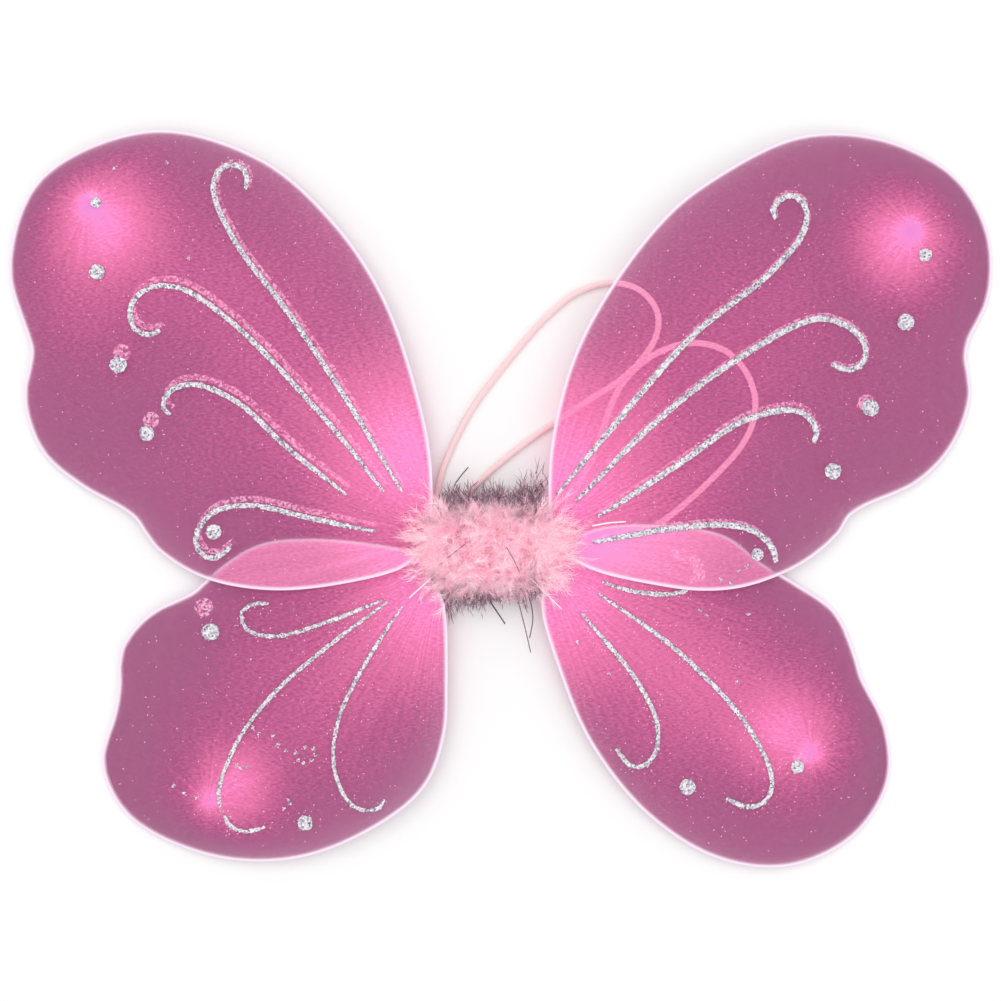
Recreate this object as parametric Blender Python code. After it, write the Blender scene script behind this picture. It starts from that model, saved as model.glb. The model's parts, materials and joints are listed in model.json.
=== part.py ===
"""Fairy wings: four wire loops with nylon over them, bound at a feathered middle, and two elastic loops.

The wings lie face up on a flat surface. +X is to the right wing as seen from the front, +Y towards the
head, +Z up through the glittered face. The origin is under the middle of the outline, on the surface.
Points are in millimetres and become metres in one place, `metres`.
"""
import math

import bmesh
import bpy
from mathutils import Matrix, Vector

# Driving dimensions, in millimetres
MM = 0.001
GAP = 0.3                  # clearance between pieces that touch in the real object
MIDDLE_X = -4.5            # the binding's middle, across the span
MIDDLE_Y = -24.0           # the binding's axis, along the height
MIDDLE_Z = 13.0            # the binding's axis above the surface, and the height of the fold lines
FOLD_HALF_SPAN = 23.5      # from the middle to the line that each side folds about
WING_SLOPE = 0.058         # how far the wings fall for each millimetre outwards
LEVELS = {"upper": 1.5, "lower": -1.5}   # wing planes above and below the fold lines

WIRE_RADIUS = 0.8          # steel wire of 1.6 mm with its white plastic coat
WIRE_SIDES_RESOLUTION = 1  # six sides round the wire
WIRE_STEP = 9.0
COVER_THICKNESS = 0.8
COVER_INSET = WIRE_RADIUS + GAP     # from the wire's axis to the nylon's edge
COVER_START = 4.6          # from the fold line out to the nylon, past the lashing
LASHING_ROOM = 0.75         # from the wire to the lashing, at the sides of an oval
LASHING_THICKNESS = 1.0
LASHING_LENGTH = 2.0
LASHING_OUT = 2.8          # from the fold line to the lashing's middle
LASHING_REACH = 14.0       # from the binding's axis, along the height, to clear of both lashings
RING_SIDES = 16
GLITTER_THICKNESS = 0.5
GLITTER_STEP = 5.0
KNOT_RADIUS = 1.2

STEM_RADIUS = 1.1
STEM_SPACING = 3.6         # between the four stems' axes inside the binding
STEM_BACK = 4.8            # from the fold line to the stem's end, clear of the turning wire
BINDING_RADIUS = 5.2
BINDING_BORE = 4.0
BINDING_HALF_LENGTH = 9.5
CORE_CORD_RADIUS = 1.2
CORE_CORD_TURNS = 2.5
BOA_HALF_LENGTH = 17.5
BOA_HALF_WIDTH = 22.0
BOA_HALF_HEIGHT = 15.5
BOA_BORE = 9.0
BOA_SIDES = 28
STRAP_RADIUS = 1.6         # round elastic of 3.2 mm
STRAP_STEP = 8.0

# Each wing: its wire from leg to leg, the point where the nylon's far end is knotted, half the width of its
# glitter lines, the lines from the root outwards, and the glitter dots as x, y and radius.
WINGS = {
    "upper_left": {
        "wire": [
            (-28.6, -16.5), (-34.2, -16.5), (-34.2, -3), (-34.6, 17), (-40, 45.5), (-57, 96), (-82, 134),
            (-118, 165), (-171, 179), (-225, 156), (-240, 114), (-231, 80), (-229, 72), (-232.5, 49),
            (-224, 24), (-206, 8), (-179, -8), (-168, -23), (-145, -37.5), (-110, -43.5), (-69, -38.7),
            (-47, -32), (-39, -25), (-34.2, -21.5), (-28.6, -21.5),
        ],
        "knot": (-202, 144.5),
        "glitter_half_width": 1.5,
        "glitter": [
            [(-48, 3.5), (-73, 45), (-103, 90), (-129, 124.5), (-140, 149), (-138.5, 159), (-131, 163),
             (-124, 159), (-124.5, 150.5)],
            [(-57, 3.5), (-83, 36), (-131, 86), (-157, 103), (-172, 103), (-181, 94), (-179, 83), (-172, 80),
             (-166, 82.5)],
            [(-75, 2), (-104, 25), (-129, 47.5), (-151, 56), (-163, 51.5), (-165, 45), (-161.5, 41)],
            [(-60.5, -16), (-92, -9.5), (-124, -3), (-141, -7), (-149, -19), (-146, -27), (-139, -29),
             (-131.5, -23)],
        ],
        "dots": [(-198, 145, 2.9), (-197.5, 111, 4.2), (-187, 65.5, 4.5), (-173, 32, 4.1), (-140, -16, 4.1)],
    },
    "upper_right": {
        "wire": [
            (19.6, -16.5), (25.2, -16.5), (24, -2), (25.6, 28), (36.8, 70), (56.5, 106), (81, 137),
            (100.5, 153), (141, 174.5), (170, 177.5), (198.5, 171), (224, 155), (238.2, 128.5),
            (238.2, 99), (228.5, 78), (227, 71), (229, 50), (220.5, 27), (204, 9.5), (171, -6.5),
            (164, -16.5), (146, -31), (120, -41.5), (99, -43.7), (79, -41.5), (44.5, -33.5),
            (31, -25.5), (25.2, -21.5), (19.6, -21.5),
        ],
        "knot": (201.5, 132),
        "glitter_half_width": 1.65,
        "glitter": [
            [(27, 1.8), (53, 33.5), (94, 80), (132, 111), (148, 131), (149, 141), (145, 147), (138, 147.5),
             (132.5, 141), (134, 136)],
            [(36.3, -1.2), (71, 33.5), (104, 60.5), (146, 85.5), (159, 88), (175, 80), (178.5, 71),
             (175, 64.5), (168.5, 63), (161, 66)],
            [(46.6, -8.8), (60, -0.5), (88, 18), (118, 38), (143, 43.3), (151, 39), (154, 33), (152.5, 27)],
            [(44.5, -21), (86, -14), (111, -12.7), (124, -16), (133, -25), (134, -31)],
        ],
        "dots": [(207.5, 119.5, 3.6), (198, 86.5, 4.5), (180.5, 44.5, 4.5), (162, 13.5, 4.4),
                 (125, -27, 3.4)],
    },
    "lower_left": {
        "wire": [
            (-28.6, -27.5), (-34.2, -27.5), (-55, -23.5), (-87, -20), (-117, -22.5), (-138, -35),
            (-149, -45.5), (-172, -57.5), (-185, -74), (-186.5, -95), (-189, -107), (-194.5, -130),
            (-182, -154.5), (-144, -173), (-104, -175), (-69, -163), (-38.7, -140.5), (-28.5, -115),
            (-27, -87), (-28, -55), (-31, -44), (-36, -36.5), (-34.2, -32.5), (-28.6, -32.5),
        ],
        "knot": (-143.5, -147.5),
        "glitter_half_width": 1.2,
        "glitter": [
            [(-57, -49), (-85, -60), (-110, -67), (-124, -64), (-127, -56), (-122, -51.5), (-113, -51)],
            [(-55, -50), (-82, -70), (-110, -94), (-129, -119), (-138, -146), (-132, -160), (-124, -162.5),
             (-115, -160)],
            [(-48, -52), (-66, -80), (-79, -107), (-81.5, -130), (-74, -148), (-67, -151.5), (-60, -151),
             (-56.5, -146)],
        ],
        "dots": [(-142, -65, 4.7), (-95.5, -158, 4.1)],
    },
    "lower_right": {
        "wire": [
            (19.6, -27.5), (25.2, -27.5), (44.5, -15.5), (78, -13.2), (109, -18.6), (127, -32),
            (143.5, -42), (163, -56), (172, -75), (176, -88), (187.5, -111.5), (189, -138),
            (172.5, -164), (141, -178.5), (106, -174.5), (72, -153), (44.5, -118.5), (28.5, -81),
            (20.5, -52), (22.2, -43), (27, -36), (25.2, -32.5), (19.6, -32.5),
        ],
        "knot": (152.5, -125),
        "glitter_half_width": 1.35,
        "glitter": [
            [(49, -40.5), (67, -45.5), (86, -46), (95, -41.5), (96.5, -34), (92, -28.5), (84, -26.7)],
            [(47.5, -46), (86, -74), (118, -107.5), (131, -131), (132.5, -141), (129, -148), (120, -150.5),
             (110, -146)],
            [(39, -55.5), (66.5, -89), (76, -109), (75.5, -123), (70, -130), (63, -130), (56, -121.5)],
        ],
        "dots": [(91, -140.5, 4.3), (145, -131, 3.6)],
    },
}

# The elastic loops' routes, end to end, as x, y and z of the centreline
STRAPS = {
    "strap_loop_left": [
        (-15.5, -26, 7.3), (-21, -25.8, 6.9), (-26.5, -23, 4.4), (-30.5, -17, 2.4), (-32, -8, 1.7),
        (-31, 4, 1.7), (-28, 16, 1.7), (-15, 43, 1.7), (6, 71, 1.7), (22, 89, 1.7), (37, 101, 1.7),
        (53.5, 106, 1.7), (68, 102.5, 1.7), (76.5, 92, 2), (76, 80, 3.8), (69, 68.5, 5.5),
        (58, 58, 5.5), (45.5, 50, 3.6), (31, 40.5, 1.9), (14, 29, 1.7), (-7, 12, 1.7),
        (-20, -1.5, 1.7), (-26.5, -10, 1.9), (-27.5, -16.5, 3.6), (-23.5, -20.8, 6.4),
        (-16, -22.2, 7.3),
    ],
    "strap_loop_right": [
        (6.5, -22, 7.3), (13, -21.6, 7.3), (18.5, -19, 5.4), (25.5, -12.5, 2.6), (34, 0, 1.7),
        (43.5, 17.5, 1.7), (49, 32, 1.7), (57, 52.5, 1.7), (66, 64, 1.7), (78, 72.3, 1.7),
        (93.5, 76.5, 1.7), (108.5, 73.5, 1.7), (119, 64, 1.7), (124.5, 50.5, 1.7), (123.5, 37.5, 1.7),
        (117.5, 25.5, 1.7), (107, 13.5, 1.7), (94.5, 1.5, 1.7), (79, -11, 1.7), (63, -19.5, 1.7),
        (46, -24.5, 1.7), (30, -27.5, 1.9), (21, -27.5, 4.2), (14, -26.2, 7.2), (6.5, -26, 7.3),
    ],
}


def metres(point):
    return Vector(point) * MM


def smooth_path(points, step):
    """Points about `step` apart on a centripetal Catmull-Rom curve through the given ones."""
    given = [Vector(p) for p in points]
    ends = [2 * given[0] - given[1], *given, 2 * given[-1] - given[-2]]
    fine = []
    for a, b, c, d in zip(ends, ends[1:], ends[2:], ends[3:]):
        t1 = (b - a).length ** 0.5
        t2 = t1 + (c - b).length ** 0.5
        t3 = t2 + (d - c).length ** 0.5
        for i in range(24):
            t = t1 + (t2 - t1) * i / 24
            ab = a.lerp(b, t / t1)
            bc = b.lerp(c, (t - t1) / (t2 - t1))
            cd = c.lerp(d, (t - t2) / (t3 - t2))
            abc = ab.lerp(bc, t / t2)
            bcd = bc.lerp(cd, (t - t1) / (t3 - t1))
            fine.append(abc.lerp(bcd, (t - t1) / (t2 - t1)))
    fine.append(given[-1])
    lengths = [0.0]
    for a, b in zip(fine, fine[1:]):
        lengths.append(lengths[-1] + (b - a).length)
    count = max(2, round(lengths[-1] / step))
    path, k = [], 0
    for i in range(count + 1):
        at = lengths[-1] * i / count
        while k < len(fine) - 2 and lengths[k + 1] < at:
            k += 1
        path.append(fine[k].lerp(fine[k + 1], (at - lengths[k]) / (lengths[k + 1] - lengths[k])))
    return path


def fold_x(wing):
    return MIDDLE_X + (FOLD_HALF_SPAN if wing.endswith("right") else -FOLD_HALF_SPAN)


def on_wing(wing, point, above=0.0):
    """The point in the wing's plane, `above` it by that much."""
    outwards = abs(point[0] - MIDDLE_X) - FOLD_HALF_SPAN
    level = MIDDLE_Z + LEVELS[wing.split("_")[0]]
    return Vector((point[0], point[1], level - WING_SLOPE * outwards + above))


def sideways(path):
    """The unit normal to the left of a flat path at each of its points."""
    normals = []
    for i in range(len(path)):
        along = path[min(i + 1, len(path) - 1)] - path[max(i - 1, 0)]
        normals.append(Vector((-along.y, along.x)).normalized())
    return normals


def finish(obj, look, parent):
    """Gives the piece its material and its place in the scene and on its body."""
    obj.data.materials.append(look)
    bpy.context.scene.collection.objects.link(obj)
    obj.parent = parent
    obj.matrix_parent_inverse = Matrix.Translation(-parent.location)
    return obj


def body_at(name, centre):
    """An empty that carries the pieces that move together, with its origin on their joint's axis."""
    body = bpy.data.objects.new(name, None)
    body.location = metres(centre)
    body.empty_display_size = 0.01
    bpy.context.scene.collection.objects.link(body)
    return body


def material(name, colour, roughness, metallic=0.0):
    made = bpy.data.materials.new(name)
    made.use_nodes = True
    shader = made.node_tree.nodes["Principled BSDF"]
    shader.inputs["Base Color"].default_value = (*colour, 1)
    shader.inputs["Roughness"].default_value = roughness
    shader.inputs["Metallic"].default_value = metallic
    return made


def tube(name, path, radius, look, parent, sides_resolution=2):
    """A round solid along the path, with flat ends."""
    curve = bpy.data.curves.new(name, "CURVE")
    curve.dimensions = "3D"
    curve.bevel_depth = radius * MM
    curve.bevel_resolution = sides_resolution
    curve.use_fill_caps = True
    spline = curve.splines.new("POLY")
    spline.points.add(len(path) - 1)
    for spot, point in zip(spline.points, path):
        spot.co = (*metres(point), 1)
    return finish(bpy.data.objects.new(name, curve), look, parent)


def mesh_object(name, build, look, parent):
    """An object from bmesh code, with its faces turned outwards."""
    shape = bmesh.new()
    build(shape)
    bmesh.ops.recalc_face_normals(shape, faces=shape.faces)
    mesh = bpy.data.meshes.new(name)
    shape.to_mesh(mesh)
    shape.free()
    return finish(bpy.data.objects.new(name, mesh), look, parent)


def slab(name, wing, outline, bottom, thickness, look, parent):
    """A flat solid in the wing's plane with that outline, from `bottom` above the plane and up."""
    def build(shape):
        rim = [shape.verts.new(metres(on_wing(wing, p, bottom))) for p in outline]
        face = shape.faces.new(rim)
        raised = bmesh.ops.extrude_face_region(shape, geom=[face])["geom"]
        lifted = [v for v in raised if isinstance(v, bmesh.types.BMVert)]
        bmesh.ops.translate(shape, verts=lifted, vec=(0, 0, thickness * MM))
    return mesh_object(name, build, look, parent)


def ring(name, centre, profile, sides, look, parent):
    """A round or oval ring about the X axis, from a closed profile of (along, out in Y, out in Z) points."""
    def build(shape):
        loops = []
        for i in range(sides):
            turn = 2 * math.pi * i / sides
            loops.append([
                shape.verts.new(metres((along, out_y * math.cos(turn), out_z * math.sin(turn))))
                for along, out_y, out_z in profile
            ])
        for first, second in zip(loops, loops[1:] + loops[:1]):
            for i in range(len(profile)):
                j = (i + 1) % len(profile)
                shape.faces.new((first[i], first[j], second[j], second[i]))
    obj = mesh_object(name, build, look, parent)
    obj.location = metres(centre)


def cover_outline(wing, wire_path):
    """The wire's outline moved inwards, from just past the lashing."""
    flat = [p.to_2d() for p in wire_path]
    area = sum(a.x * b.y - b.x * a.y for a, b in zip(flat, flat[1:] + flat[:1]))
    inwards = 1 if area > 0 else -1
    outline = []
    for point, normal in zip(flat, sideways(flat)):
        moved = point + normal * inwards * COVER_INSET
        clear = min((moved - other).length for other in flat) > COVER_INSET - 0.05
        beyond_lashing = abs(moved.x - fold_x(wing)) > COVER_START or abs(moved.y - MIDDLE_Y) > LASHING_REACH
        if clear and beyond_lashing:
            outline.append(moved)
    return outline


def ribbon_outline(path, half_width):
    """Both edges of a line of glitter glue, thinner at its root and full for the rest."""
    left, right = [], []
    for i, (point, normal) in enumerate(zip(path, sideways(path))):
        share = min(1.0, 0.6 + 2.2 * i / len(path))
        if i == len(path) - 1:
            share = 0.7
        left.append(point + normal * half_width * share)
        right.append(point - normal * half_width * share)
    return left + right[::-1]


def make_wing(name, body):
    """One wing: wire loop, nylon cover, lashing at the root, knot at the tip, glitter lines and dots."""
    design = WINGS[name]
    first_end, *loop, last_end = [on_wing(name, p) for p in design["wire"]]
    wire_path = [first_end, *smooth_path(loop, WIRE_STEP), last_end]
    tube(f"wire_{name}", wire_path, WIRE_RADIUS, COATED_WIRE, body, WIRE_SIDES_RESOLUTION)
    edge = cover_outline(name, wire_path)
    slab(f"cover_{name}", name, edge, -COVER_THICKNESS / 2, COVER_THICKNESS, NYLON, body)

    x_out = -1 if name.endswith("left") else 1
    leg_ys = (design["wire"][0][1], design["wire"][-1][1])
    lashing_at = on_wing(name, (fold_x(name) + x_out * LASHING_OUT, sum(leg_ys) / 2))
    width = abs(leg_ys[0] - leg_ys[1]) / 2 + WIRE_RADIUS
    inner = (width + LASHING_ROOM, WIRE_RADIUS + LASHING_ROOM)
    outer = (inner[0] + LASHING_THICKNESS, inner[1] + LASHING_THICKNESS)
    half = LASHING_LENGTH / 2
    profile = [(-half, *inner), (-half, *outer), (half, *outer), (half, *inner)]
    ring(f"root_lashing_{name}", lashing_at, profile, RING_SIDES, THREAD, body)

    tip = on_wing(name, design["knot"], -COVER_THICKNESS / 2 - GAP - KNOT_RADIUS)

    def knot(shape):
        bmesh.ops.create_icosphere(shape, subdivisions=2, radius=KNOT_RADIUS * MM)
    knotted = mesh_object(f"tip_knot_{name}", knot, NYLON, body)
    knotted.location = metres(tip)

    glitter_bottom = COVER_THICKNESS / 2 + GAP
    for i, line in enumerate(design["glitter"], 1):
        path = [p.to_2d() for p in smooth_path([(*p, 0) for p in line], GLITTER_STEP)]
        outline = ribbon_outline(path, design["glitter_half_width"])
        slab(f"glitter_line_{name}_{i}", name, outline, glitter_bottom, GLITTER_THICKNESS, GLITTER, body)
    for i, (x, y, radius) in enumerate(design["dots"], 1):
        corners = [(x + radius * math.cos(a), y + radius * math.sin(a))
                   for a in (2 * math.pi * k / 10 for k in range(10))]
        slab(f"glitter_dot_{name}_{i}", name, corners, glitter_bottom, GLITTER_THICKNESS, GLITTER, body)


def make_stem(name, body):
    """The wing's twisted wire end, from the fold line into the binding."""
    left = name.endswith("left")
    x_in = 1 if left else -1
    upper = name.startswith("upper")
    leg_ys = (WINGS[name]["wire"][0][1], WINGS[name]["wire"][-1][1])
    start = on_wing(name, (fold_x(name) + x_in * STEM_BACK, sum(leg_ys) / 2))
    bound_y = MIDDLE_Y + STEM_SPACING / 2 * (1 if upper else -1)
    bound_z = MIDDLE_Z + STEM_SPACING / 2 * (1 if left else -1)
    bound_x = MIDDLE_X - x_in * (BINDING_HALF_LENGTH + 0.5)
    end_x = MIDDLE_X + x_in * (BINDING_HALF_LENGTH - 2)
    route = [start, start.lerp(Vector((bound_x, bound_y, bound_z)), 0.45),
             (bound_x, bound_y, bound_z), (MIDDLE_X, bound_y, bound_z), (end_x, bound_y, bound_z)]
    tube(f"stem_{name}", smooth_path(route, 5.0), STEM_RADIUS, COATED_WIRE, body)


def make_middle(body):
    """The tape round the stems, the boa's core cord wound over it, and the fluff as one soft solid."""
    centre = (MIDDLE_X, MIDDLE_Y, MIDDLE_Z)
    half = BINDING_HALF_LENGTH
    profile = [(-half, BINDING_BORE, BINDING_BORE), (-half, BINDING_RADIUS, BINDING_RADIUS),
               (half, BINDING_RADIUS, BINDING_RADIUS), (half, BINDING_BORE, BINDING_BORE)]
    ring("binding_tape", centre, profile, RING_SIDES, TAPE, body)

    coil_radius = BINDING_RADIUS + GAP + CORE_CORD_RADIUS
    steps = round(CORE_CORD_TURNS * 18)
    coil = []
    for i in range(steps + 1):
        turn = 2 * math.pi * CORE_CORD_TURNS * i / steps
        along = (half - CORE_CORD_RADIUS) * (2 * i / steps - 1)
        across = Vector((along, coil_radius * math.cos(turn), coil_radius * math.sin(turn)))
        coil.append(Vector(centre) + across)
    tube("boa_core_cord", coil, CORE_CORD_RADIUS, CORD, body, 1)

    make_boa(body)


def boa_section(half_width, half_height):
    """An oval across the boa's length, flat where it meets the surface."""
    turns = [2 * math.pi * i / BOA_SIDES for i in range(BOA_SIDES)]
    return [(MIDDLE_Y + half_width * math.cos(t), max(0.0, MIDDLE_Z + half_height * math.sin(t)))
            for t in turns]


def make_boa(body):
    """The marabou fluff round the binding: a fat sleeve with round shoulders, open along its middle."""
    shoulders = [(-1.0, 0.86), (-0.8, 0.97), (-0.4, 1.0), (0.4, 1.0), (0.8, 0.97), (1.0, 0.86)]
    sections = [(along, boa_section(BOA_HALF_WIDTH * share, BOA_HALF_HEIGHT * share))
                for along, share in shoulders]
    sections += [(1.0, boa_section(BOA_BORE, BOA_BORE)), (-1.0, boa_section(BOA_BORE, BOA_BORE))]

    def build(shape):
        loops = [[shape.verts.new(metres((MIDDLE_X + along * BOA_HALF_LENGTH, y, z))) for y, z in outline]
                 for along, outline in sections]
        for first, second in zip(loops, loops[1:] + loops[:1]):
            for i in range(BOA_SIDES):
                j = (i + 1) % BOA_SIDES
                shape.faces.new((first[i], first[j], second[j], second[i]))
    mesh_object("feather_boa", build, FEATHER, body)


for old in list(bpy.data.objects):
    bpy.data.objects.remove(old)

COATED_WIRE = material("coated_wire", (0.95, 0.82, 0.88), 0.35)
NYLON = material("nylon", (0.60, 0.16, 0.33), 0.6)
THREAD = material("thread", (0.92, 0.55, 0.68), 0.8)
GLITTER = material("glitter", (0.78, 0.76, 0.80), 0.3, 0.8)
TAPE = material("tape", (0.90, 0.50, 0.62), 0.6)
CORD = material("cord", (0.93, 0.62, 0.70), 0.9)
FEATHER = material("feather", (0.93, 0.50, 0.58), 1.0)
ELASTIC = material("elastic", (0.95, 0.62, 0.64), 0.7)

middle = body_at("middle", (MIDDLE_X, MIDDLE_Y, MIDDLE_Z))
make_middle(middle)
for wing in WINGS:
    make_stem(wing, middle)
for strap, route in STRAPS.items():
    tube(strap, smooth_path(route, STRAP_STEP), STRAP_RADIUS, ELASTIC, middle)
for wing in WINGS:
    make_wing(wing, body_at(f"hinge_{wing}", (fold_x(wing), MIDDLE_Y, MIDDLE_Z)))
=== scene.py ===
"""Fairy wings lying face up: sheer nylon drawn over four wire loops, bound at the middle under marabou."""
import json
import math

import bmesh
import bpy
import numpy as np
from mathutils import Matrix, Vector, noise
from mathutils.geometry import delaunay_2d_cdt


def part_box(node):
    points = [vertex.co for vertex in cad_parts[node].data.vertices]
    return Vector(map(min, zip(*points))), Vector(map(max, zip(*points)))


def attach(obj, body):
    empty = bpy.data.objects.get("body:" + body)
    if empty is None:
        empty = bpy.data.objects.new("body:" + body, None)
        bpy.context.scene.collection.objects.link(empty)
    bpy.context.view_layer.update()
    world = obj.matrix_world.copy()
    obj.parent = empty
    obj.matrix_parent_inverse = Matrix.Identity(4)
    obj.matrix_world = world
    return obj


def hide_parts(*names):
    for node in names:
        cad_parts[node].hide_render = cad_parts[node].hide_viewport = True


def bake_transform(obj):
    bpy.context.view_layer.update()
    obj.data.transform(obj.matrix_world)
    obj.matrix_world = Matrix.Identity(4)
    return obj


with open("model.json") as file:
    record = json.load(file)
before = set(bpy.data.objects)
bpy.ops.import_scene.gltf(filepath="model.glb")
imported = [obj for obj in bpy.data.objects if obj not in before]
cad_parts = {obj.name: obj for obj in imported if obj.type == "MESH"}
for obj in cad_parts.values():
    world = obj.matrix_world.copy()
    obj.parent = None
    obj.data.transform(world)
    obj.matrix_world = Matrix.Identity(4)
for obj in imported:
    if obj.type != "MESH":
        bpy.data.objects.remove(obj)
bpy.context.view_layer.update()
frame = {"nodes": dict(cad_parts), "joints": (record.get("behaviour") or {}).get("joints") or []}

# ----------------------------------------------------------------------------------------------------------
# Camera. It looks straight down on the wings as they lie, from far enough away that the raised middle
# doesn't lean outwards.
MM = 0.001
camera = bpy.data.objects.new("camera", bpy.data.cameras.new("camera"))
camera.location = (-0.25 * MM, -0.74 * MM, 1.161)
camera.data.lens = 85
bpy.context.scene.collection.objects.link(camera)
bpy.context.scene.camera = camera
bpy.context.scene.view_settings.view_transform = "Standard"

# ----------------------------------------------------------------------------------------------------------
# Arm loops. Two loops of round pink elastic, 3.2 mm thick, with a braided jacket. Both ends of each go into
# the binding at the back of the trim, and the loops lie under the wings up to the right.
ELASTIC_RADIUS = 1.6 * MM
ELASTIC_SIDES = 14
THREAD_PITCH = 0.72 * MM
THREAD_SLANT = 0.9
ARM_LOOPS = {
    "strap_loop_left": [
        (-15.5, -26, 7.3), (-21, -25.8, 6.9), (-26.5, -23, 4.4), (-30.5, -17, 2.4), (-32, -8, 1.7),
        (-31, 4, 1.7), (-28, 16, 1.7), (-15, 43, 1.7), (6, 71, 1.7), (22, 89, 1.7), (37, 101, 1.7),
        (53.5, 106, 1.7), (68, 102.5, 1.7), (76.5, 92, 2), (76, 80, 3.8), (69, 68.5, 5.5), (58, 58, 5.5),
        (45.5, 50, 3.6), (31, 40.5, 1.9), (14, 29, 1.7), (-7, 12, 1.7), (-20, -1.5, 1.7),
        (-26.5, -10, 1.9), (-27.5, -16.5, 3.6), (-23.5, -20.8, 6.4), (-16, -22.2, 7.3),
    ],
    "strap_loop_right": [
        (6.5, -22, 7.3), (13, -21.6, 7.3), (18.5, -19, 5.4), (25.5, -12.5, 2.6), (34, 0, 1.7),
        (43.5, 17.5, 1.7), (49, 32, 1.7), (57, 52.5, 1.7), (66, 64, 1.7), (78, 72.3, 1.7),
        (93.5, 76.5, 1.7), (108.5, 73.5, 1.7), (119, 64, 1.7), (124.5, 50.5, 1.7), (123.5, 37.5, 1.7),
        (117.5, 25.5, 1.7), (107, 13.5, 1.7), (94.5, 1.5, 1.7), (79, -11, 1.7), (63, -19.5, 1.7),
        (46, -24.5, 1.7), (30, -27.5, 1.9), (21, -27.5, 4.2), (14, -26.2, 7.2), (6.5, -26, 7.3),
    ],
}


def smooth_line(points, step):
    """Points about `step` apart on a centripetal Catmull-Rom curve through the given ones."""
    given = [Vector(p) for p in points]
    ends = [2 * given[0] - given[1], *given, 2 * given[-1] - given[-2]]
    fine = []
    for a, b, c, d in zip(ends, ends[1:], ends[2:], ends[3:]):
        t1 = (b - a).length ** 0.5
        t2 = t1 + (c - b).length ** 0.5
        t3 = t2 + (d - c).length ** 0.5
        for i in range(24):
            t = t1 + (t2 - t1) * i / 24
            ab = a.lerp(b, t / t1)
            bc = b.lerp(c, (t - t1) / (t2 - t1))
            cd = c.lerp(d, (t - t2) / (t3 - t2))
            abc = ab.lerp(bc, t / t2)
            bcd = bc.lerp(cd, (t - t1) / (t3 - t1))
            fine.append(abc.lerp(bcd, (t - t1) / (t2 - t1)))
    fine.append(given[-1])
    lengths = np.cumsum([0] + [(b - a).length for a, b in zip(fine, fine[1:])])
    at = np.linspace(0, lengths[-1], max(2, round(lengths[-1] / step)) + 1)
    return np.array([np.interp(at, lengths, [p[k] for p in fine]) for k in range(len(fine[0]))]).T


def feed(tree, node, inputs):
    """Fills a node's inputs, by name or number: another node's output is linked, and a value is set."""
    for socket, source in dict(inputs).items():
        if isinstance(source, bpy.types.NodeSocket):
            tree.links.new(source, node.inputs[socket])
        else:
            node.inputs[socket].default_value = source


def add_node(tree, kind, inputs=(), **settings):
    """Adds a node with these inputs and settings."""
    node = tree.nodes.new(kind)
    for key, value in settings.items():
        setattr(node, key, value)
    feed(tree, node, inputs)
    return node


def new_material(name):
    """A material, its node tree and its Principled shader."""
    made = bpy.data.materials.new(name)
    made.use_nodes = True
    return made, made.node_tree, made.node_tree.nodes["Principled BSDF"]


def calc(tree, operation, *values):
    return add_node(tree, "ShaderNodeMath", dict(enumerate(values)), operation=operation).outputs[0]


def vector_calc(tree, operation, *values):
    return add_node(tree, "ShaderNodeVectorMath", dict(enumerate(values)), operation=operation).outputs[0]


def attribute(tree, name):
    return add_node(tree, "ShaderNodeAttribute", attribute_name=name).outputs["Fac"]


def object_place(tree):
    return add_node(tree, "ShaderNodeTexCoord").outputs["Object"]


def mottle(tree, place, scale, detail=2.0):
    """Soft uneven patches, smaller for a greater scale."""
    inputs = {"Vector": place, "Scale": scale, "Detail": detail}
    return add_node(tree, "ShaderNodeTexNoise", inputs).outputs[0]


def relief(tree, height, strength, depth):
    """Small bumps that the light shows and the outline doesn't."""
    inputs = {"Strength": strength, "Distance": depth, "Height": height}
    return add_node(tree, "ShaderNodeBump", inputs).outputs[0]


def colour(red, green, blue):
    """A linear colour from the 0 to 255 values of a paint chart."""
    def linear(c):
        c /= 255
        return c / 12.92 if c <= 0.04045 else ((c + 0.055) / 1.055) ** 2.4
    return (linear(red), linear(green), linear(blue), 1)


def ramp(tree, value, stops):
    """A colour ramp of (place, colour) stops."""
    node = add_node(tree, "ShaderNodeValToRGB", {0: value})
    band = node.color_ramp.elements
    while len(band) < len(stops):
        band.new(0.5)
    for element, (place, shade) in zip(band, stops):
        element.position = place
        element.color = shade
    return node.outputs["Color"]


def unit(rows):
    return rows / np.linalg.norm(rows, axis=1)[:, None]


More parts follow.
